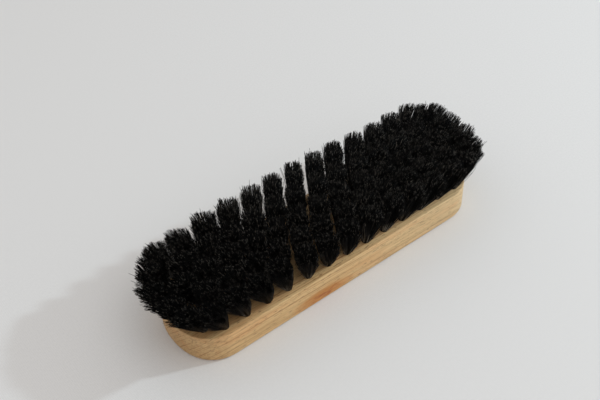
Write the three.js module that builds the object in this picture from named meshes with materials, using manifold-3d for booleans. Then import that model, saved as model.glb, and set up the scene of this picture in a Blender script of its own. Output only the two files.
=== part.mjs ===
// A wooden clothes brush lying on its back with its bristles up. One block of wood holds blind holes,
// and each hole holds one tuft of horsehair. The holes are drilled on a fan, so the tufts lean outward
// and their trimmed tips cover a larger area than the bristle face.
// Frame: millimetres, X along the brush, Y across it, Z up, origin in the middle of the flat back.
import * as THREE from "three";
import { mergeVertices } from "three/addons/utils/BufferGeometryUtils.js";
import Module from "manifold-3d";

// Block
const BLOCK_LENGTH = 180;
const BLOCK_WIDTH = 50.8;
const BLOCK_HEIGHT = 17.2;
const END_LENGTH = 20.5; // the straight sides stop this far from each end
const END_POWER = 2.2; // a superellipse a little fuller than an ellipse rounds each end
const BACK_ROUND = 1.8; // radius along the edge of the back
const FACE_ROUND = 0.6; // radius along the edge of the bristle face

// Holes and tufts
const HOLE_PITCH = 12.2; // from hole to hole along a row
const NEAR_SHIFT = 1.7; // the near row is drilled this much further towards +X
const ROW_SPACING = 10; // from row to row
const LONG_ROW_COUNT = 13; // tufts in the two outer rows and in the centre row
const SHORT_ROW_COUNT = 12; // tufts in the two rows between them, set half a pitch over
const END_COUNT = 4; // tufts around each end, between the ends of the outer rows
const EDGE_MARGIN = 5.4; // from the block's edge to the centres of the end tufts
const HOLE_RADIUS = 2.1;
const HOLE_DEPTH = 11;
const DRILL_START = 1; // the cut begins this far above the bristle face
const SEAT_GAP = 0.3; // between a tuft and its hole, all round and underneath
const BRISTLE_HEIGHT = 17.6; // from the bristle face to the trimmed tips
const SPREAD_ALONG = 1.09; // tip position over root position, along the brush
const SPREAD_ACROSS = 1.25; // the same, across the brush
const TIP_RADIUS = 6; // of a tuft with room around it
const TIP_GAP = 0.4; // between neighbouring tufts at their tips
const FLARE_POWER = 0.85; // below 1 a tuft widens fastest just above the wood
const MERGED_TIP_LENGTH = 7; // half the length of a centre-row tip, which runs into the next one

// How finely curves are divided
const QUARTER_STEPS = 10; // per quarter of the block's outline
const ROUND_STEPS = 3; // per rounded edge
const END_PATH_STEPS = 60; // per quarter, of the path that the end tufts follow
const TUFT_SIDES = 8;
const FLARE_STEPS = 3; // from the bristle face to the tips

const manifold = await Module();
manifold.setup();

const WOOD = { color: 0xc9a878, roughness: 0.6, metalness: 0 };
const HORSEHAIR = { color: 0x17130f, roughness: 0.75, metalness: 0 };

// A closed body through rings of points that all turn the same way and have the same number of points.
function loft(rings) {
  const count = rings[0].length;
  const indices = [];
  for (let r = 0; r < rings.length - 1; r += 1) {
    for (let i = 0; i < count; i += 1) {
      const here = r * count + i;
      const next = r * count + ((i + 1) % count);
      indices.push(here, next, next + count, here, next + count, here + count);
    }
  }
  const top = (rings.length - 1) * count;
  for (let i = 1; i < count - 1; i += 1) {
    indices.push(0, i + 1, i);
    indices.push(top, top + i, top + i + 1);
  }
  const geometry = new THREE.BufferGeometry().setFromPoints(rings.flat());
  geometry.setIndex(indices);
  geometry.computeVertexNormals();
  return geometry;
}

// A point on the +X half of the block's outline drawn in by `inset`. `turn` runs from -90 to 90 degrees.
function outlinePoint(inset, turn) {
  const endLength = END_LENGTH - inset;
  const straight = BLOCK_LENGTH / 2 - END_LENGTH;
  const x = straight + endLength * Math.abs(Math.cos(turn)) ** (2 / END_POWER);
  const y = (BLOCK_WIDTH / 2 - inset) * Math.abs(Math.sin(turn)) ** (2 / END_POWER);
  return new THREE.Vector2(x, Math.sign(turn) * y);
}

// The whole outline at one height, as two mirrored ends with straight sides between them.
function blockRing(inset, z) {
  const ring = [];
  for (const side of [1, -1]) {
    for (let i = -QUARTER_STEPS; i <= QUARTER_STEPS; i += 1) {
      const point = outlinePoint(inset, (i / QUARTER_STEPS) * (Math.PI / 2));
      ring.push(new THREE.Vector3(side * point.x, side * point.y, z));
    }
  }
  return ring;
}

// The block before it is drilled: flat back and flat bristle face, both with rounded edges.
function blockBlank() {
  const rings = [];
  for (let i = 0; i <= ROUND_STEPS; i += 1) {
    const turn = ((i / ROUND_STEPS) * Math.PI) / 2;
    rings.push(blockRing(BACK_ROUND * (1 - Math.sin(turn)), BACK_ROUND * (1 - Math.cos(turn))));
  }
  for (let i = ROUND_STEPS; i >= 0; i -= 1) {
    const turn = ((i / ROUND_STEPS) * Math.PI) / 2;
    const rise = BLOCK_HEIGHT - FACE_ROUND * (1 - Math.cos(turn));
    rings.push(blockRing(FACE_ROUND * (1 - Math.sin(turn)), rise));
  }
  return loft(rings);
}

// Where the tufts of one row stand on the bristle face, with the row's middle at x = `shift`.
function rowRoots(count, y, shift = 0) {
  const roots = [];
  for (let i = 0; i < count; i += 1) {
    roots.push(new THREE.Vector2(shift + (i - (count - 1) / 2) * HOLE_PITCH, y));
  }
  return roots;
}

// The roots around one end, evenly spaced along the inset outline between the ends of the outer rows.
function endRoots(side) {
  const farRowEnd = ((LONG_ROW_COUNT - 1) / 2) * HOLE_PITCH;
  const nearRowEnd = farRowEnd + side * NEAR_SHIFT;
  const outline = [];
  for (let i = -END_PATH_STEPS; i <= END_PATH_STEPS; i += 1) {
    outline.push(outlinePoint(EDGE_MARGIN, (i / END_PATH_STEPS) * (Math.PI / 2)));
  }
  const path = new THREE.SplineCurve([
    new THREE.Vector2(nearRowEnd, -2 * ROW_SPACING),
    ...outline.filter((point) => point.x > (point.y < 0 ? nearRowEnd : farRowEnd)),
    new THREE.Vector2(farRowEnd, 2 * ROW_SPACING),
  ]);
  const roots = path.getSpacedPoints(END_COUNT + 1).slice(1, -1);
  return roots.map((root) => new THREE.Vector2(side * root.x, root.y));
}

// Where a tuft's axis is at height z: through its root on the bristle face and out along the fan.
function axisPoint(root, z) {
  const share = (z - BLOCK_HEIGHT) / BRISTLE_HEIGHT;
  const x = root.x * (1 + (SPREAD_ALONG - 1) * share);
  const y = root.y * (1 + (SPREAD_ACROSS - 1) * share);
  return new THREE.Vector3(x, y, z);
}

// A level ring about a tuft's axis, round or stretched along X.
function tuftRing(root, z, radiusX, radiusY) {
  const centre = axisPoint(root, z);
  const ring = [];
  for (let i = 0; i < TUFT_SIDES; i += 1) {
    const turn = (i / TUFT_SIDES) * 2 * Math.PI;
    const arm = new THREE.Vector3(radiusX * Math.cos(turn), radiusY * Math.sin(turn), 0);
    ring.push(arm.add(centre));
  }
  return ring;
}

// One bundle of hair: a straight shank in its hole, then a flare up to the level tips.
function tuft(root, tipX, tipY) {
  const shank = HOLE_RADIUS - SEAT_GAP;
  const rings = [tuftRing(root, BLOCK_HEIGHT - HOLE_DEPTH + SEAT_GAP, shank, shank)];
  for (let i = 0; i <= FLARE_STEPS; i += 1) {
    const share = i / FLARE_STEPS;
    const grown = share ** FLARE_POWER;
    const radiusX = shank + (tipX - shank) * grown;
    const radiusY = shank + (tipY - shank) * grown;
    rings.push(tuftRing(root, BLOCK_HEIGHT + BRISTLE_HEIGHT * share, radiusX, radiusY));
  }
  return loft(rings);
}

// What the drill takes out for one tuft: a leaning round hole that starts just above the face.
function holeCore(root) {
  const floor = tuftRing(root, BLOCK_HEIGHT - HOLE_DEPTH, HOLE_RADIUS, HOLE_RADIUS);
  const mouth = tuftRing(root, BLOCK_HEIGHT + DRILL_START, HOLE_RADIUS, HOLE_RADIUS);
  return loft([floor, mouth]);
}

// Half the room between a tuft's tips and the nearest other tuft's, at most TIP_RADIUS.
function tipRadius(root, roots) {
  const tip = axisPoint(root, BLOCK_HEIGHT + BRISTLE_HEIGHT);
  const others = roots.filter((other) => other !== root);
  const room = others.map((other) => tip.distanceTo(axisPoint(other, tip.z)));
  return Math.min(TIP_RADIUS, (Math.min(...room) - TIP_GAP) / 2);
}

// Between three.js geometry and manifold-3d solids.
function toSolid(geometry) {
  const bare = geometry.clone();
  bare.deleteAttribute("normal");
  const merged = mergeVertices(bare);
  const vertProperties = merged.getAttribute("position").array;
  const triVerts = new Uint32Array(merged.getIndex().array);
  return new manifold.Manifold(new manifold.Mesh({ numProp: 3, vertProperties, triVerts }));
}

function toGeometry(solid) {
  const mesh = solid.getMesh();
  const geometry = new THREE.BufferGeometry();
  geometry.setAttribute("position", new THREE.BufferAttribute(mesh.vertProperties, 3));
  geometry.setIndex(new THREE.BufferAttribute(mesh.triVerts, 1));
  geometry.computeVertexNormals();
  return geometry;
}

function piece(name, geometry, look) {
  const mesh = new THREE.Mesh(geometry, new THREE.MeshStandardMaterial(look));
  mesh.name = name;
  return mesh;
}

// The tufts, by where they stand. Left and right are -X and +X, near and far are -Y and +Y.
const outerY = 2 * ROW_SPACING;
const tuftGroups = {
  near_row: rowRoots(LONG_ROW_COUNT, -outerY, NEAR_SHIFT),
  far_row: rowRoots(LONG_ROW_COUNT, outerY),
  near_inner: rowRoots(SHORT_ROW_COUNT, -ROW_SPACING),
  far_inner: rowRoots(SHORT_ROW_COUNT, ROW_SPACING),
  left_end: endRoots(-1),
  right_end: endRoots(1),
};
const centreRoots = rowRoots(LONG_ROW_COUNT, 0);
const allRoots = [...Object.values(tuftGroups).flat(), ...centreRoots];

// The block, with every hole drilled.
function block() {
  let wood = toSolid(blockBlank());
  for (const root of allRoots) wood = wood.subtract(toSolid(holeCore(root)));
  return toGeometry(wood);
}

// The centre row's hair runs together at the tips, hidden among the other rows, so it is one body.
function centreRow() {
  let row = null;
  for (const root of centreRoots) {
    const solid = toSolid(tuft(root, MERGED_TIP_LENGTH, tipRadius(root, allRoots)));
    row = row ? row.add(solid) : solid;
  }
  return toGeometry(row);
}

const brush = new THREE.Group();
brush.add(piece("block", block(), WOOD));
for (const [place, roots] of Object.entries(tuftGroups)) {
  roots.forEach((root, i) => {
    const radius = tipRadius(root, allRoots);
    const name = `tuft_${place}_${String(i + 1).padStart(2, "0")}`;
    brush.add(piece(name, tuft(root, radius, radius), HORSEHAIR));
  });
}
brush.add(piece("tuft_centre_row", centreRow(), HORSEHAIR));

export default brush;
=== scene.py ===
"""A wooden clothes brush lying on its back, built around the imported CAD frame.

The CAD gives the block and where each tuft of horsehair stands and leans. This script adds what is too fine
for the frame: every hair of every tuft, the steel anchor that each tuft is folded over, and the beech block
with its grain. Lengths are metres, in the frame's axes: X along the brush, Y across it, Z up.
"""

import math

import bmesh
import bpy
import numpy as np
from mathutils import Matrix, Vector


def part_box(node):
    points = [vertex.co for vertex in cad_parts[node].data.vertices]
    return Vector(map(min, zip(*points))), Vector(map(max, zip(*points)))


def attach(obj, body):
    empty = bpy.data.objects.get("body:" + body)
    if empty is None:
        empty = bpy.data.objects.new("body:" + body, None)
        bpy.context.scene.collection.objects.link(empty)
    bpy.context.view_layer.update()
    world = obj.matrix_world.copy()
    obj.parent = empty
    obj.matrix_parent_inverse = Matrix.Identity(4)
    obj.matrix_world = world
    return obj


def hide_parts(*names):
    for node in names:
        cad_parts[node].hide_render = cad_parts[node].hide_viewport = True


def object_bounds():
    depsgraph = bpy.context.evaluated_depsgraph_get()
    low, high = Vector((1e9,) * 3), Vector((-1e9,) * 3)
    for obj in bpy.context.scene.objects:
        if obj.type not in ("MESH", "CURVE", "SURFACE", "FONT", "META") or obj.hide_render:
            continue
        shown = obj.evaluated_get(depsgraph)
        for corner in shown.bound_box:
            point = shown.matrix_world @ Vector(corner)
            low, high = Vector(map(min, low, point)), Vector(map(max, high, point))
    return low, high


MM = 0.001
SEED = 71
LEVEL_TOLERANCE = 0.01 * MM  # a CAD point this near a height is at that height
RING_GAP = 2 * MM  # wider than the steps along X within a tuft's ring, narrower than between two rings

# Block, beyond what the frame's box says
END_LENGTH = 20.5 * MM  # the straight sides stop this far from each end
END_POWER = 2.2  # the superellipse that rounds the ends
BACK_ROUND = 1.8 * MM
FACE_ROUND = 0.6 * MM
OUTLINE_STEPS = 28  # per quarter of the outline
ROUND_STEPS = 6  # per rounded edge
HOLE_SIDES = 24
HOLE_GAP = 0.3 * MM  # between the CAD tuft's shank and its hole, all round and underneath
DRILL_START = 1 * MM  # the cut begins this far above the bristle face
SHARP_ANGLE = math.radians(35)  # the block's edges that turn by more than this stay sharp

# Hair
HAIRS = 420  # per tuft; each is folded in two, so it shows two ends
HAIR_RADIUS = 0.1 * MM
HAIR_STEPS = (0.0, 0.2, 0.45, 0.72, 0.94, 1.0)  # the bends of a hair, as shares of the way up to its tip
FLARE_POWER = 1.02  # above 1 a tuft widens slowest just above the wood
TIP_SCATTER = 0.55 * MM  # how far a tip usually lies from its place in the fan
SCATTER_POWER = 1.5  # above 1 a hair leaves its place in the fan mostly near its tip
BEND = 0.3 * MM  # how far a hair usually bows out between root and tip
TUFT_LEAN = 0.45 * MM  # how far a tuft's tips usually lie from where its row would put them
LEAN_POWER = 1.3  # above 1 a tuft leans further the nearer its tips
TRIM_UNEVEN = 0.25 * MM
DOME = 1.2 * MM  # how much lower a tuft's outermost tips end than its middle ones
DOME_POWER = 1.5  # of the squared distance from a tuft's middle: higher drops only the outermost tips
CLUMP_HAIRS = 3  # hairs that cling together at their tips
CLUMPING = 0.45  # how far they have closed up, as a share of the way
STRAY_SHARE = 0.012  # of the hairs stray
STRAY_FACTOR = 6.0  # times as far as the others
STRAY_LIMIT = 3 * MM  # no tip strays further than this in X or in Y
GLINT_SHARE = 0.1  # of the tips get a painted glint, a paler colour at the hair's end

# Hair in its hole
BUNDLE_FILL = 0.9  # of the bundle's radius is what the folded hair takes up
BESIDE_WIDTH = 0.6  # of that is how far it reaches out from the anchor's sides
FOLD_LOWEST = 0.1  # millimetres from the hole's floor to the lowest fold
FOLD_SPREAD = 0.25  # millimetres from the lowest fold to the highest
GATHER_RAISE = 1 * MM  # this far above halfway up the hole a hair is back in its place in the bundle

# How use has shaped the tips
COMB = 7 * MM  # the middle of the far row has been stroked this far towards +X
COMB_NEAR = 0.2  # the near row this share of it
COMB_MIDDLE = 22 * MM
COMB_REACH = 82 * MM
SWAY = 2 * MM  # and the tips around SWAY_MIDDLE this far towards +Y
SWAY_MIDDLE = -22 * MM
SWAY_REACH = 58 * MM
SPLAY = 2 * MM  # the middle of the far row leans this much further out
END_PUSH = 4 * MM  # the far tufts around the right end lean this much further out
NEAR_HOLD = 3.2 * MM  # the near row leans this much less far out
NEAR_DRAG = 1 * MM  # and its tips lie this far back towards -X
NEAR_SWEEP = 3.5 * MM  # but those right of the middle are swept this far towards +X
NEAR_SWEEP_MIDDLE = 45 * MM
NEAR_SWEEP_REACH = 50 * MM
NEAR_LIFT = 1 * MM  # and stand this much less far out
NEAR_POWER = 4  # higher keeps all of this closer to the near row
FREE_REACH_X = (7 * MM, 10 * MM)  # an end tuft's tips go this far from their middle towards -X and +X
FREE_REACH_ROW = 6.4 * MM  # and those of a row's tufts this far, either way
FREE_REACH_Y = (4.8 * MM, 8.4 * MM)  # towards -Y and +Y, where no tuft stands beyond
FREE_LEAN_MIDDLE = 20 * MM  # a row's free edges lean the way of the strips most here
FREE_LEAN_REACH = 110 * MM
INNER_REACH = 14 * MM  # the most that tips go where another tuft stands beyond
FREE_LIMIT = 17 * MM  # a tuft is free on the sides where every neighbour's edge is further off
FAR_OFF = 1.0  # metres: further than any neighbour's edge
LEAST_FACING = 0.01  # the least cosine between a direction and a neighbour that is divided by
STRIP_TURN = math.radians(60)  # the tips run together in strips this way across the brush
STRIP_SLOPE = 0.6  # along X over along Y, from a tuft's foot to the next one's in its strip
STRIP_FACING = 0.9  # cosine within which a neighbour belongs to the same strip
STRIP_OVERLAP = 3.4 * MM
STRIP_GAP = -0.5 * MM  # between two strips' tips in the middle of the brush: they overlap a little
STRIP_MIDDLE = 4 * MM  # where the middle strip crosses the X axis
STRIP_REACH = 38 * MM  # further from it than this the strips run together
EDGE_GAP = 2.4 * MM  # between the strips along the far edge, where they stand furthest apart
EDGE_GAP_MIDDLE = 15 * MM
EDGE_GAP_REACH = 60 * MM
EDGE_POWER = 6  # higher keeps those gaps closer to the far edge
REACH_STEPS = 72  # directions in which a tuft's reach is worked out
REACH_BESIDE = 2  # directions on either side that each of them is evened out with
CORNER = 4  # higher makes the corners of a tuft's tips squarer

# Anchors
ANCHOR_LENGTH = 5.0 * MM
ANCHOR_DEPTH = 1.9 * MM
ANCHOR_THICKNESS = 0.45 * MM
ANCHOR_RAISE = 0.5 * MM  # clearance under it for the folded hair
ANCHOR_SHOULDER = 0.45  # of its depth: the height at which it is longest
ANCHOR_POINT = 0.35 * MM  # how far its corners are cut back, which leaves its ends pointed
ANCHOR_ROUND = 0.08 * MM

# Looks
LAYER_HEIGHT = 1.5 * MM
LAYER_TILT = 1.2  # how much a growth layer drops towards +Y for each unit along it
LAYER_DIVE = 0.03  # and towards +X
LAYER_WAVER = 7  # radians by which the lines waver
BROAD_LAYERS = 2.7  # growth layers from one of the darker lines to the next
FINE_STRENGTH = 0.6
BROAD_STRENGTH = 0.55
STAIN_MIDDLE_X = -18 * MM
STAIN_MIDDLE_Z = 4.6 * MM
STAIN_HALF_X = 18 * MM
STAIN_HALF_Y = 6 * MM
STAIN_HALF_Z = 5 * MM
ROOT_SHEEN = (2 * MM, 8 * MM)  # above the wood: painted sheen on some hairs up to the first height, none from the second
THREAD_PITCH = 1.9 * MM  # of the floor's weave
WEAVE_STRENGTH = 0.2

# Camera and light
CAMERA_ANGLES = (-35.4, 44.6, -2.95)  # degrees: round the brush, up, and roll
CAMERA_TARGET = (16.2, 38.2, 0)  # millimetres
CAMERA_DISTANCE = 496 * MM
CAMERA_LENS = 53.6  # millimetres, on a film 36 mm wide
LAMP_WAY = (57, -26, 34.8)  # the way from the brush to the lamp
LAMP_DISTANCE = 1.3
LAMP_COLOUR = (0.78, 0.92, 1.0)
ROOM_COLOUR = (1.0, 0.985, 0.97, 1)
ROOM_STRENGTH = {"From Min": -1, "From Max": 1, "To Min": 0.525, "To Max": 0.83}  # from -X to +X
FLOOR_REACH = 3.0

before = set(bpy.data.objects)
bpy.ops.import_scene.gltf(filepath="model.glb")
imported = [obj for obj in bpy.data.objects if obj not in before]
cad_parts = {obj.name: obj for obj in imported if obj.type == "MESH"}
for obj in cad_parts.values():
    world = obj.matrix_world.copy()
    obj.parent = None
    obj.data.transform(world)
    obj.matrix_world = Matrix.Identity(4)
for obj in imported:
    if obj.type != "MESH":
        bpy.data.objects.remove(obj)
cad_low, cad_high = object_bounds()
block_low, block_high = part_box("block")
FACE_Z = block_high.z
TIP_Z = cad_high.z
HALF_LENGTH = block_high.x
HALF_WIDTH = block_high.y


# ---------------------------------------------------------------- reading the frame


def clusters(points, gap):
    """Splits points into groups wherever their x values leave a wider gap than this."""
    points = points[np.argsort(points[:, 0])]
    breaks = np.where(np.diff(points[:, 0]) > gap)[0] + 1
    return np.split(points, breaks)


def ring_centres(node, z):
    """The centre of each ring that a CAD tuft node has at height z, and the ring's radius."""
    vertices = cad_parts[node].data.vertices
    points = np.array([v.co for v in vertices])
    level = points[np.abs(points[:, 2] - z) < LEVEL_TOLERANCE]
    found = []
    for ring in clusters(level, RING_GAP):
        low, high = ring.min(0), ring.max(0)
        found.append(((low + high) / 2, (high[0] - low[0]) / 2))
    return found


def read_tufts():
    """Every tuft of the frame as a dict: place, node, foot, mouth, lean and shank radius."""
    tufts = []
    for node in sorted(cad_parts):
        if not node.startswith("tuft_"):
            continue
        feet = ring_centres(node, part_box(node)[0].z)
        mouths = ring_centres(node, FACE_Z)
        for i, ((foot, shank), (mouth, _)) in enumerate(zip(feet, mouths)):
            place = node.removeprefix("tuft_")
            if len(feet) > 1:
                place += f"_{i + 1:02d}"
            lean = (mouth - foot) / (mouth[2] - foot[2])
            tuft = {"place": place, "node": node, "foot": foot, "mouth": mouth}
            tufts.append({**tuft, "lean": lean, "shank": shank})
    return tufts


# ---------------------------------------------------------------- how the tips lie


def hump(x, middle, reach, power=4):
    """1 around the middle, falling to 0 at reach from it, the more suddenly the higher the power."""
    return max(0.0, 1 - abs((x - middle) / reach) ** power)


def place_tips(tufts):
    """Gives each tuft the middle of its tips, as combed, and its reach all round."""
    outer_row = max(abs(tuft["mouth"][1]) for tuft in tufts)
    for tuft in tufts:
        x, y, _ = tuft["mouth"]
        tuft["far"] = (y / outer_row + 1) / 2
        share = hump(x, COMB_MIDDLE, COMB_REACH)
        along = COMB * (COMB_NEAR + (1 - COMB_NEAR) * tuft["far"] ** 2) * share
        across = SWAY * hump(x, SWAY_MIDDLE, SWAY_REACH) + SPLAY * tuft["far"] ** 2 * share
        nearness = (1 - tuft["far"]) ** NEAR_POWER
        swept = hump(x, NEAR_SWEEP_MIDDLE, NEAR_SWEEP_REACH, 2)
        across += (NEAR_HOLD + NEAR_LIFT * swept) * nearness
        along += (NEAR_SWEEP * swept - NEAR_DRAG) * nearness
        tuft["at_end"] = "_end_" in tuft["place"]
        if tuft["at_end"] and x > 0:
            along += END_PUSH * tuft["far"] ** 2
        tuft["combed"] = np.array([along, across])
        tuft["tip"] = (tuft["mouth"] + tuft["lean"] * (TIP_Z - FACE_Z))[:2] + tuft["combed"]
        tuft["strip"] = x - y * STRIP_SLOPE
    for tuft in tufts:
        tuft["reach"] = reach_all_round(tuft, tufts)


def strip_gap(tuft, other):
    """The gap between two tufts in neighbouring strips: negative where their tips overlap."""
    share = hump((tuft["strip"] + other["strip"]) / 2, STRIP_MIDDLE, STRIP_REACH)
    inner_gap = STRIP_GAP * share - STRIP_OVERLAP * (1 - share)
    at_edge = ((tuft["far"] + other["far"]) / 2) ** EDGE_POWER
    opened = hump((tuft["mouth"][0] + other["mouth"][0]) / 2, EDGE_GAP_MIDDLE, EDGE_GAP_REACH, 2)
    return inner_gap * (1 - at_edge) + EDGE_GAP * opened * at_edge


def shared_edge(tuft, other):
    """The way to the edge between two tufts' tips, as a level unit vector, and how far off the edge is.

    Neighbours along a strip, and those around the ends, overlap halfway between them. Neighbouring strips
    meet along a straight edge that runs the way of the strip.
    """
    apart = other["tip"] - tuft["tip"]
    distance = np.linalg.norm(apart)
    strip = np.array([math.cos(STRIP_TURN), math.sin(STRIP_TURN)])
    same_strip = abs(apart @ strip) > STRIP_FACING * distance
    if same_strip or tuft["at_end"] or other["at_end"]:
        return apart / distance, (distance + STRIP_OVERLAP) / 2
    across = np.array([strip[1], -strip[0]])
    across *= np.sign(apart @ across)
    return across, (apart @ across - strip_gap(tuft, other)) / 2


def free_reach(tuft, directions):
    """How far tips go where nothing is in their way: an ellipse with its own half width on each side.

    In the rows it is sheared towards the way of the strips, most around FREE_LEAN_MIDDLE.
    """
    along, across = directions[:, 0], directions[:, 1]
    half_y = np.where(across < 0, *FREE_REACH_Y)
    if tuft["at_end"]:
        return 1 / np.hypot(along / np.where(along < 0, *FREE_REACH_X), across / half_y)
    shear = hump(tuft["mouth"][0], FREE_LEAN_MIDDLE, FREE_LEAN_REACH, 2) / math.tan(STRIP_TURN)
    return 1 / np.hypot((along - across * shear) / FREE_REACH_ROW, across / half_y)


def reach_all_round(tuft, tufts):
    """How far a tuft's tips go from their middle, in each of REACH_STEPS directions from +X round."""
    turns = np.arange(REACH_STEPS) / REACH_STEPS * 2 * math.pi
    directions = np.stack([np.cos(turns), np.sin(turns)], axis=1)
    free = free_reach(tuft, directions)
    nearest = np.full(REACH_STEPS, FAR_OFF)
    crowd = np.zeros(REACH_STEPS)
    for other in tufts:
        if other is tuft or np.linalg.norm(other["tip"] - tuft["tip"]) > 2 * FREE_LIMIT:
            continue
        towards, edge = shared_edge(tuft, other)
        limit = edge / np.maximum(directions @ towards, LEAST_FACING)
        nearest = np.minimum(nearest, limit)
        crowd = np.maximum(crowd, limit**-CORNER)
    open_reach = np.where(nearest > FREE_LIMIT, free, INNER_REACH)
    reach = (crowd + open_reach**-CORNER) ** (-1 / CORNER)
    beside = sum(np.roll(reach, step) for step in range(-REACH_BESIDE, REACH_BESIDE + 1))
    return beside / (2 * REACH_BESIDE + 1)


# ---------------------------------------------------------------- meshes


def new_object(name, mesh, material):
    piece = bpy.data.objects.new(name, mesh)
    bpy.context.scene.collection.objects.link(piece)
    mesh.materials.append(material)
    return piece


def loft(rings):
    """A closed mesh through rings of the same number of points, lowest first, with flat ends."""
    count = len(rings[0])
    points = [tuple(p) for ring in rings for p in ring]
    faces = []
    for r in range(len(rings) - 1):
        for i in range(count):
            here, after = r * count + i, r * count + (i + 1) % count
            faces.append((here, after, after + count, here + count))
    faces.append(tuple(reversed(range(count))))
    faces.append(tuple(range(len(points) - count, len(points))))
    mesh = bpy.data.meshes.new("loft")
    mesh.from_pydata(points, [], faces)
    return mesh


def outline(inset, z):
    """The block's outline drawn in by inset, at height z."""
    ring = []
    for side in (1, -1):
        for i in range(-OUTLINE_STEPS, OUTLINE_STEPS + 1):
            turn = i / OUTLINE_STEPS * math.pi / 2
            reach = (END_LENGTH - inset) * abs(math.cos(turn)) ** (2 / END_POWER)
            x = HALF_LENGTH - END_LENGTH + reach
            y = math.copysign((HALF_WIDTH - inset) * abs(math.sin(turn)) ** (2 / END_POWER), turn)
            ring.append((side * x, side * y, z))
    return ring


def circle(centre, radius, sides):
    """A level ring of points."""
    x, y, z = centre
    turns = np.arange(sides) / sides * 2 * math.pi
    return [(x + radius * math.cos(turn), y + radius * math.sin(turn), z) for turn in turns]


def blank_mesh():
    """The undrilled block, with its two rounded edges."""
    rings = []
    for i in range(ROUND_STEPS + 1):
        turn = i / ROUND_STEPS * math.pi / 2
        rings.append(outline(BACK_ROUND * (1 - math.sin(turn)), BACK_ROUND * (1 - math.cos(turn))))
    for i in reversed(range(ROUND_STEPS + 1)):
        turn = i / ROUND_STEPS * math.pi / 2
        height = FACE_Z - FACE_ROUND * (1 - math.cos(turn))
        rings.append(outline(FACE_ROUND * (1 - math.sin(turn)), height))
    return loft(rings)


def drill_mesh(tufts):
    """All the drilled holes as one mesh, each a leaning cylinder that starts above the face."""
    joined = bmesh.new()
    for tuft in tufts:
        radius = tuft["shank"] + HOLE_GAP
        floor = tuft["foot"] - tuft["lean"] * HOLE_GAP
        above = tuft["mouth"] + tuft["lean"] * DRILL_START
        joined.from_mesh(loft([circle(floor, radius, HOLE_SIDES), circle(above, radius, HOLE_SIDES)]))
    mesh = bpy.data.meshes.new("drill")
    joined.to_mesh(mesh)
    joined.free()
    return mesh


def build_block(tufts, material):
    """The drilled block."""
    block = new_object("beech_block", blank_mesh(), material)
    drill = bpy.data.objects.new("drill", drill_mesh(tufts))
    bpy.context.scene.collection.objects.link(drill)
    cut = block.modifiers.new("holes", "BOOLEAN")
    cut.operation = "DIFFERENCE"
    cut.solver = "EXACT"
    cut.object = drill
    depsgraph = bpy.context.evaluated_depsgraph_get()
    mesh = bpy.data.meshes.new_from_object(block.evaluated_get(depsgraph))
    block.modifiers.clear()
    block.data = mesh
    bpy.data.objects.remove(drill)
    mesh.shade_smooth()
    mesh.set_sharp_from_angle(angle=SHARP_ANGLE)
    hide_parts("block")
    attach(block, "root")


def tube_mesh(name, paths):
    """Three-sided closed tubes of HAIR_RADIUS along paths, an array of hair by point by xyz."""
    hairs, points, _ = paths.shape
    along = np.gradient(paths, axis=1)
    along /= np.linalg.norm(along, axis=2, keepdims=True)
    aside = np.cross(along, np.array([0.31, 0.87, 0.38]))  # any way that no hair runs along
    aside /= np.linalg.norm(aside, axis=2, keepdims=True)
    third = np.cross(along, aside)
    turns = np.arange(3) / 3 * 2 * math.pi
    arms = aside[:, :, None] * np.cos(turns)[:, None] + third[:, :, None] * np.sin(turns)[:, None]
    vertices = paths[:, :, None] + arms * HAIR_RADIUS
    index = np.arange(hairs * points * 3).reshape(hairs, points, 3)
    after = np.roll(index, -1, axis=2)
    quads = np.stack([index[:, :-1], after[:, :-1], after[:, 1:], index[:, 1:]], axis=-1).reshape(-1, 4)
    caps = np.concatenate([index[:, 0, ::-1], index[:, -1]])
    loops = np.concatenate([quads.ravel(), caps.ravel()])
    sizes = np.concatenate([np.full(len(quads), 4), np.full(len(caps), 3)])
    mesh = bpy.data.meshes.new(name)
    mesh.vertices.add(vertices.size // 3)
    mesh.vertices.foreach_set("co", vertices.astype(np.float32).ravel())
    mesh.loops.add(len(loops))
    mesh.loops.foreach_set("vertex_index", loops.astype(np.int32))
    mesh.polygons.add(len(sizes))
    starts = np.concatenate([[0], np.cumsum(sizes)[:-1]])
    mesh.polygons.foreach_set("loop_start", starts.astype(np.int32))
    mesh.update(calc_edges=True)
    mesh.validate()
    mesh.shade_smooth()
    return mesh


# ---------------------------------------------------------------- hair


def half_disc(rng, count):
    """Points spread evenly over the half of a unit disc where y is positive, sorted by x."""
    radius = np.sqrt(rng.random(count))
    turn = rng.random(count) * math.pi
    points = np.stack([radius * np.cos(turn), radius * np.sin(turn)], axis=1)
    return points[np.argsort(points[:, 0])]


def clump(rng, places):
    """Where each hair's tip lies in the unit disc once it clings to the nearest of some other hairs."""
    middles = places[rng.choice(len(places), len(places) // CLUMP_HAIRS, replace=False)]
    apart = np.linalg.norm(places[:, None] - middles[None], axis=2)
    return places + (middles[apart.argmin(axis=1)] - places) * CLUMPING


def spread_out(places, reach):
    """Places in the unit disc as offsets that fill a tuft's reach."""
    turn = np.arctan2(places[:, 1], places[:, 0]) % (2 * math.pi)
    steps = np.arange(REACH_STEPS + 1) / REACH_STEPS * 2 * math.pi
    return places * np.interp(turn, steps, np.append(reach, reach[0]))[:, None]


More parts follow.
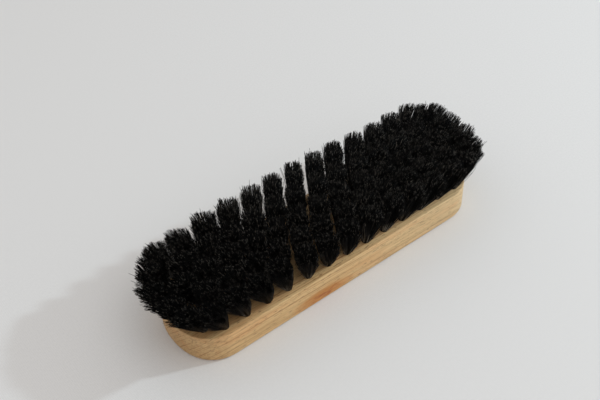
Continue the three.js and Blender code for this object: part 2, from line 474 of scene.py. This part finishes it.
def buried_path(rng, tuft, places, shank):
    """The part of one leg of each hair that is in the hole: under the anchor, round it, and up."""
    floor_z = tuft["foot"][2]
    squeezed = places * shank * BUNDLE_FILL
    under = squeezed * np.array([1, 0])
    side = np.where(places[:, 1] < 0, -1, 1)
    corner = under + np.stack([np.zeros(len(side)), side * ANCHOR_THICKNESS], axis=1)
    beside = squeezed * np.array([1, BESIDE_WIDTH])
    beside[:, 1] = side * np.maximum(np.abs(beside[:, 1]), ANCHOR_THICKNESS)
    fold_z = floor_z + (FOLD_LOWEST + FOLD_SPREAD * rng.random(len(places))) * MM
    beside_z = floor_z + ANCHOR_RAISE + ANCHOR_DEPTH / 2
    upper_z = (floor_z + FACE_Z) / 2 + GATHER_RAISE
    turns = ((fold_z, under), (fold_z, corner), (beside_z, beside), (upper_z, squeezed))
    return [on_axis(tuft, z, offset) for z, offset in turns]


def on_axis(tuft, z, offset):
    """Points at height z that lie at an offset in X and Y from the tuft's axis."""
    rise = np.broadcast_to(z, len(offset))[:, None] - tuft["mouth"][2]
    points = tuft["mouth"] + tuft["lean"] * rise
    points[:, :2] += offset
    return points


def leg_paths(rng, tuft, places, lean_tip):
    """One leg of each hair, from the fold under the anchor to the trimmed tip.

    places holds where each leg stands in the tuft's unit disc: x along the anchor, y away from it.
    """
    count = len(places)
    shank = tuft["shank"] + HOLE_GAP - HAIR_RADIUS * 2
    path = buried_path(rng, tuft, places, shank)
    rooted = places * shank
    splayed = spread_out(clump(rng, places), tuft["reach"])
    stray = np.where(rng.random(count) < STRAY_SHARE, STRAY_FACTOR, 1.0)[:, None]
    scatter = np.clip(rng.normal(0, TIP_SCATTER, (count, 2)) * stray, -STRAY_LIMIT, STRAY_LIMIT)
    bend = rng.normal(0, BEND, (count, 2)) * np.sqrt(stray)
    dropped = DOME * (places**2).sum(axis=1) ** DOME_POWER
    shortfall = np.abs(rng.normal(0, TRIM_UNEVEN, count)) + dropped
    reach = 1 - shortfall / (TIP_Z - FACE_Z)
    for share in HAIR_STEPS:
        height = (share * reach)[:, None]
        offset = rooted + (splayed - rooted) * height**FLARE_POWER
        bowed = bend * 4 * height * (1 - height)
        offset += scatter * height**SCATTER_POWER + bowed + lean_tip * height**LEAN_POWER
        path.append(on_axis(tuft, FACE_Z + height[:, 0] * (TIP_Z - FACE_Z), offset))
    return np.stack(path, axis=1)


def build_hair(rng, tuft, material):
    """One tuft: hairs folded in two under the anchor, both legs fanning out to the trimmed tips."""
    lean_tip = rng.normal(0, TUFT_LEAN, 2) + tuft["combed"]
    near = leg_paths(rng, tuft, half_disc(rng, HAIRS), lean_tip)
    far = leg_paths(rng, tuft, half_disc(rng, HAIRS) * np.array([1, -1]), lean_tip)
    paths = np.concatenate([near[:, :0:-1], far], axis=1)
    points = paths.shape[1]
    name = "hair_" + tuft["place"]
    hair = new_object(name, tube_mesh(name, paths), material)
    # painted glints: a few hair ends marked to take a paler colour
    cut = np.zeros((HAIRS, points))
    cut[:, [0, -1]] = rng.random((HAIRS, 2)) < GLINT_SHARE
    tone = np.repeat(rng.random(HAIRS), points)
    for attribute, values in (("tone", tone), ("cut", cut.ravel())):
        data = hair.data.attributes.new(attribute, "FLOAT", "POINT").data
        data.foreach_set("value", np.repeat(values, 3).astype(np.float32))
    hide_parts(tuft["node"])
    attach(hair, "root")


# ---------------------------------------------------------------- anchors


def build_anchor(tuft, material):
    """A flat steel wire on edge across the bottom of the hole, its ends pressed into the wood."""
    half, depth, thick = ANCHOR_LENGTH / 2, ANCHOR_DEPTH, ANCHOR_THICKNESS / 2
    shoulder, inner = depth * ANCHOR_SHOULDER, half - ANCHOR_POINT
    side_view = [(-half, shoulder), (-inner, 0), (inner, 0), (half, shoulder)]
    side_view += [(inner, depth), (-inner, depth)]
    base = tuft["foot"] + tuft["lean"] * ANCHOR_RAISE
    rings = []
    for y in (-thick, thick):
        ring = []
        for x, z in side_view:
            rise = tuft["lean"] * z
            ring.append((base[0] + x + rise[0], base[1] - y + rise[1], base[2] + z))
        rings.append(ring)
    name = "anchor_" + tuft["place"]
    anchor = new_object(name, loft(rings), material)
    rounded = bmesh.new()
    rounded.from_mesh(anchor.data)
    edges = rounded.edges[:]
    bmesh.ops.bevel(rounded, geom=edges, offset=ANCHOR_ROUND, segments=2, affect="EDGES", profile=0.7)
    bmesh.ops.recalc_face_normals(rounded, faces=rounded.faces[:])
    rounded.to_mesh(anchor.data)
    rounded.free()
    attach(anchor, "root")


# ---------------------------------------------------------------- materials


class Look:
    """One node material on a Principled shader, with short calls for adding nodes."""

    def __init__(self, name, **sockets):
        self.material = bpy.data.materials.new(name)
        self.material.use_nodes = True
        self.tree = self.material.node_tree
        self.shader = self.tree.nodes["Principled BSDF"]
        self.place = self.add("ShaderNodeTexCoord").outputs["Object"]
        for socket, value in sockets.items():
            self.shader.inputs[socket.replace("_", " ")].default_value = value

    def add(self, kind, inputs=None, **settings):
        node = self.tree.nodes.new(kind)
        for key, value in settings.items():
            setattr(node, key, value)
        for key, value in (inputs or {}).items():
            if isinstance(value, bpy.types.NodeSocket):
                self.tree.links.new(value, node.inputs[key])
            else:
                node.inputs[key].default_value = value
        return node

    def noise(self, stretch, detail=4.0, roughness=0.55, place=None):
        """Noise whose features are 1/stretch metres long on each axis of place."""
        mapping = {"Vector": place or self.place, "Scale": stretch}
        mapped = self.add("ShaderNodeMapping", mapping).outputs[0]
        settings = {"Vector": mapped, "Scale": 1.0, "Detail": detail, "Roughness": roughness}
        return self.add("ShaderNodeTexNoise", settings).outputs["Fac"]

    def ramp(self, value, *stops):
        """A colour ramp through (position, colour) stops."""
        node = self.add("ShaderNodeValToRGB", {"Fac": value})
        elements = node.color_ramp.elements
        while len(elements) < len(stops):
            elements.new(0.5)
        for element, (position, colour) in zip(elements, stops):
            element.position = position
            element.color = (*colour, 1)
        return node.outputs["Color"]

    def math(self, operation, a, b=0.0):
        return self.add("ShaderNodeMath", {0: a, 1: b}, operation=operation).outputs[0]

    def between(self, value, low, high, to_low=0.0, to_high=1.0):
        """value from low..high onto to_low..to_high, held at the ends."""
        inputs = {"Value": value, "From Min": low, "From Max": high, "To Min": to_low, "To Max": to_high}
        return self.add("ShaderNodeMapRange", inputs).outputs[0]

    def mix(self, share, a, b):
        node = self.add("ShaderNodeMix", {0: share}, data_type="RGBA")
        for socket, value in ((node.inputs[6], a), (node.inputs[7], b)):
            if isinstance(value, bpy.types.NodeSocket):
                self.tree.links.new(value, socket)
            else:
                socket.default_value = (*value, 1)
        return node.outputs[2]

    def drive(self, socket, value):
        self.tree.links.new(value, self.shader.inputs[socket])

    def bump(self, height, strength, distance):
        inputs = {"Height": height, "Strength": strength, "Distance": distance}
        self.drive("Normal", self.add("ShaderNodeBump", inputs).outputs["Normal"])


def srgb(red, green, blue):
    """An 8-bit sRGB colour as the linear values that shaders take."""
    shares = (red / 255, green / 255, blue / 255)
    return tuple(s / 12.92 if s <= 0.04045 else ((s + 0.055) / 1.055) ** 2.4 for s in shares)


def beech():
    """Beech: straw-coloured wood, fine growth lines, short dark flecks, one orange stain; painted shade on
    the left end, painted light towards +X.
    """
    look = Look("beech", Specular_IOR_Level=0.35)
    x, y, z = look.add("ShaderNodeSeparateXYZ", {"Vector": look.place}).outputs
    layered, depth = growth_layers(look, x, y, z)
    fibre = look.noise((45, 500, 1500), detail=5, roughness=0.65, place=layered)
    lines = growth_lines(look, depth)
    cloud = look.noise((14, 60, 60), detail=3)
    base = look.ramp(cloud, (0.3, srgb(212, 176, 124)), (0.7, srgb(226, 192, 140)))
    warm = look.between(look.noise((22, 190, 190), detail=2), 0.5, 0.68, 0, 0.4)
    warmed = look.mix(warm, base, srgb(216, 152, 96))
    left_end = look.between(x, -88 * MM, -70 * MM)
    faded = look.between(left_end, 0, 1, 0.95, 0.72)
    line_strength = look.math("MULTIPLY", look.between(lines, 0.15, 0.85), faded)
    lined = look.mix(line_strength, warmed, srgb(168, 119, 69))
    grained = look.mix(look.between(fibre, 0.44, 0.7, 0, 0.5), lined, srgb(148, 104, 60))
    fleck = look.noise((330, 330, 2200), detail=1.5, roughness=0.4, place=layered)
    flecks = look.between(fleck, 0.61, 0.71, 0, 0.75)
    flecked = look.mix(flecks, grained, srgb(112, 70, 40))
    # painted shade: the left end darkened, as it faces away from the lamp
    shaded = look.mix(look.between(left_end, 0, 1, 0.3, 0.0), flecked, srgb(150, 106, 62))
    # painted light: the wood paler and greyer towards +X, on the lamp's side
    painted_light_right = look.mix(look.between(x, 0, 90 * MM, 0, 0.2), shaded, srgb(226, 222, 190))
    look.drive("Base Color", stained(look, x, y, z, painted_light_right))
    look.drive("Roughness", look.between(fibre, 0.3, 0.7, 0.5, 0.64))
    look.bump(look.math("SUBTRACT", fibre, look.math("MULTIPLY", flecks, 0.6)), 0.25, 0.06 * MM)
    return look.material


def growth_layers(look, x, y, z):
    """Coordinates along X, up the tilted growth layers, and through them; and the last one alone."""
    up = look.math("SUBTRACT", look.math("MULTIPLY", z, LAYER_TILT), y)
    through = look.math("ADD", z, look.math("MULTIPLY", y, LAYER_TILT))
    depth = look.math("ADD", through, look.math("MULTIPLY", x, LAYER_DIVE))
    layered = look.add("ShaderNodeCombineXYZ", {"X": x, "Y": up, "Z": depth}).outputs[0]
    return layered, depth


def growth_lines(look, depth):
    """Fine and broad wavering lines where the growth layers come to the surface."""
    waver = look.math("MULTIPLY", look.noise((10, 55, 55), detail=3), LAYER_WAVER)
    phase = look.math("ADD", look.math("MULTIPLY", depth, 2 * math.pi / LAYER_HEIGHT), waver)
    strength = look.between(look.noise((7, 160, 160), detail=2), 0.35, 0.6, 0.3, 1.0)
    fine = look.math("MULTIPLY", look.math("SINE", phase), FINE_STRENGTH)
    broad_wave = look.math("SINE", look.math("DIVIDE", phase, BROAD_LAYERS))
    broad = look.math("MULTIPLY", broad_wave, BROAD_STRENGTH)
    return look.math("MULTIPLY", look.math("ADD", fine, broad), strength)


def stained(look, x, y, z, wood):
    """The wood with an orange stain low on the -Y side, left of the middle, with small darker cores."""
    squares = []
    in_x, in_z = (x, STAIN_MIDDLE_X, STAIN_HALF_X), (z, STAIN_MIDDLE_Z, STAIN_HALF_Z)
    extents = (in_x, in_z, (y, -HALF_WIDTH, STAIN_HALF_Y))
    for axis, middle, half in extents:
        offset = look.math("DIVIDE", look.math("SUBTRACT", axis, middle), half)
        squares.append(look.math("POWER", offset, 2))
    distance = look.math("ADD", look.math("ADD", squares[0], squares[1]), squares[2])
    ragged = look.math("ADD", distance, look.math("MULTIPLY", look.noise((110, 500, 500)), 1.1))
    tan = look.mix(look.between(ragged, 0.7, 1.8, 0.78, 0.0), wood, srgb(190, 122, 52))
    core = look.math("ADD", distance, look.math("MULTIPLY", look.noise((240, 800, 800)), 1.8))
    return look.mix(look.between(core, 0.75, 1.15, 0.85, 0.0), tan, srgb(158, 84, 40))


def horsehair():
    """Horsehair: near black, each hair with its own brown or grey cast, and painted sheen on some near the
    root.
    """
    look = Look("horsehair", Specular_IOR_Level=0.06, Roughness=0.38)
    tone = look.add("ShaderNodeAttribute", attribute_name="tone").outputs["Fac"]
    black, brown, grey, pale = srgb(3, 3, 3), srgb(7, 6, 5), srgb(20, 17, 15), srgb(120, 112, 102)
    strand = look.ramp(tone, (0.4, black), (0.86, brown), (0.975, grey), (0.998, pale))
    along = look.noise((300, 300, 260), detail=2)
    body = look.mix(look.between(along, 0.35, 0.65, 0.0, 0.5), strand, black)
    z = look.add("ShaderNodeSeparateXYZ", {"Vector": look.place}).outputs["Z"]
    # painted sheen: some hairs paler near the wood, standing in for light along the fibres
    near_wood = look.between(z, FACE_Z + ROOT_SHEEN[0], FACE_Z + ROOT_SHEEN[1], 1, 0)
    painted_root_sheen = look.math("MULTIPLY", near_wood, look.between(tone, 0.76, 0.82))
    rooted = look.mix(painted_root_sheen, body, srgb(150, 142, 130))
    # painted glints: the marked hair ends paler
    cut = look.add("ShaderNodeAttribute", attribute_name="cut").outputs["Fac"]
    look.drive("Base Color", look.mix(cut, rooted, srgb(97, 93, 87)))
    look.drive("Roughness", look.between(along, 0.35, 0.65, 0.3, 0.46))
    return look.material


def wire_steel():
    """Galvanised flat wire with fine drawing lines along its length."""
    look = Look("anchor_steel", Metallic=1.0)
    lines = look.noise((300, 9000, 9000), detail=2)
    look.drive("Base Color", look.ramp(lines, (0.3, srgb(150, 152, 154)), (0.7, srgb(190, 191, 192))))
    look.drive("Roughness", look.between(lines, 0.3, 0.7, 0.3, 0.48))
    look.bump(lines, 0.2, 0.01 * MM)
    return look.material


def paper():
    """The pale matt sheet that the brush lies on."""
    look = Look("pale_floor", Specular_IOR_Level=0.2, Roughness=0.9)
    tooth = look.noise((900, 900, 900), detail=4)
    x, y, _ = look.add("ShaderNodeSeparateXYZ", {"Vector": look.place}).outputs
    diagonals = (look.math("ADD", x, y), look.math("SUBTRACT", x, y))
    turn = 2 * math.pi / THREAD_PITCH
    threads = [look.math("SINE", look.math("MULTIPLY", axis, turn)) for axis in diagonals]
    weave = look.math("MULTIPLY", look.math("MULTIPLY", *threads), WEAVE_STRENGTH)
    surface = look.math("ADD", tooth, weave)
    look.drive("Base Color", look.ramp(surface, (0.2, srgb(221, 220, 219)), (0.8, srgb(229, 228, 227))))
    look.bump(surface, 0.2, 0.1 * MM)
    return look.material


# ---------------------------------------------------------------- stage


def build_floor():
    mesh = bpy.data.meshes.new("floor")
    corners = [(x * FLOOR_REACH, y * FLOOR_REACH, 0) for x, y in ((-1, -1), (1, -1), (1, 1), (-1, 1))]
    mesh.from_pydata(corners, [], [(0, 1, 2, 3)])
    floor = new_object("floor", mesh, paper())


def build_light(name, position, size, energy, colour=(1, 1, 1)):
    data = bpy.data.lights.new(name, "AREA")
    data.shape = "DISK"
    data.size = size
    data.energy = energy
    data.color = colour
    light = bpy.data.objects.new(name, data)
    bpy.context.scene.collection.objects.link(light)
    light.location = position
    light.rotation_euler = (-Vector(position)).to_track_quat("-Z", "Y").to_euler()


def build_lights():
    """A soft cool lamp low on the right, a wide overhead softbox, and a pale room."""
    lamp_place = Vector(LAMP_WAY).normalized() * LAMP_DISTANCE
    build_light("lamp", lamp_place, size=0.08, energy=5.8, colour=LAMP_COLOUR)
    build_light("softbox", (0.2, -0.6, 1.4), size=1.2, energy=2.8)
    build_room()


def build_room():
    """Even, slightly warm light from all round, dimmer from the left."""
    world = bpy.data.worlds.new("room")
    world.use_nodes = True
    nodes, links = world.node_tree.nodes, world.node_tree.links
    split = nodes.new("ShaderNodeSeparateXYZ")
    links.new(nodes.new("ShaderNodeTexCoord").outputs["Generated"], split.inputs[0])
    side = nodes.new("ShaderNodeMapRange")
    links.new(split.outputs["X"], side.inputs["Value"])
    for socket, value in ROOM_STRENGTH.items():
        side.inputs[socket].default_value = value
    background = nodes["Background"]
    background.inputs["Color"].default_value = ROOM_COLOUR
    links.new(side.outputs[0], background.inputs["Strength"])
    bpy.context.scene.world = world


def build_camera():
    """Above the near left corner of the brush, looking down along it, with a slight roll."""
    azimuth, elevation, roll = (math.radians(angle) for angle in CAMERA_ANGLES)
    level = math.cos(elevation)
    back = Vector((math.sin(azimuth) * level, -math.cos(azimuth) * level, math.sin(elevation)))
    right = Vector((math.cos(azimuth), math.sin(azimuth), 0))
    turned = Matrix((right, back.cross(right), back)).transposed() @ Matrix.Rotation(roll, 3, "Z")
    data = bpy.data.cameras.new("camera")
    data.sensor_width = 36
    data.lens = CAMERA_LENS
    data.clip_start = 0.01
    data.dof.use_dof = False
    camera = bpy.data.objects.new("camera", data)
    place = Vector(CAMERA_TARGET) * MM + back * CAMERA_DISTANCE
    camera.matrix_world = Matrix.Translation(place) @ turned.to_4x4()
    bpy.context.scene.collection.objects.link(camera)
    bpy.context.scene.camera = camera
    bpy.context.scene.view_settings.view_transform = "Standard"


# ---------------------------------------------------------------- build


def main():
    tufts = read_tufts()
    place_tips(tufts)
    rng = np.random.default_rng(SEED)
    hair, steel = horsehair(), wire_steel()
    for tuft in tufts:
        build_hair(rng, tuft, hair)
        build_anchor(tuft, steel)
    build_block(tufts, beech())
    build_floor()
    build_lights()
    build_camera()


main()
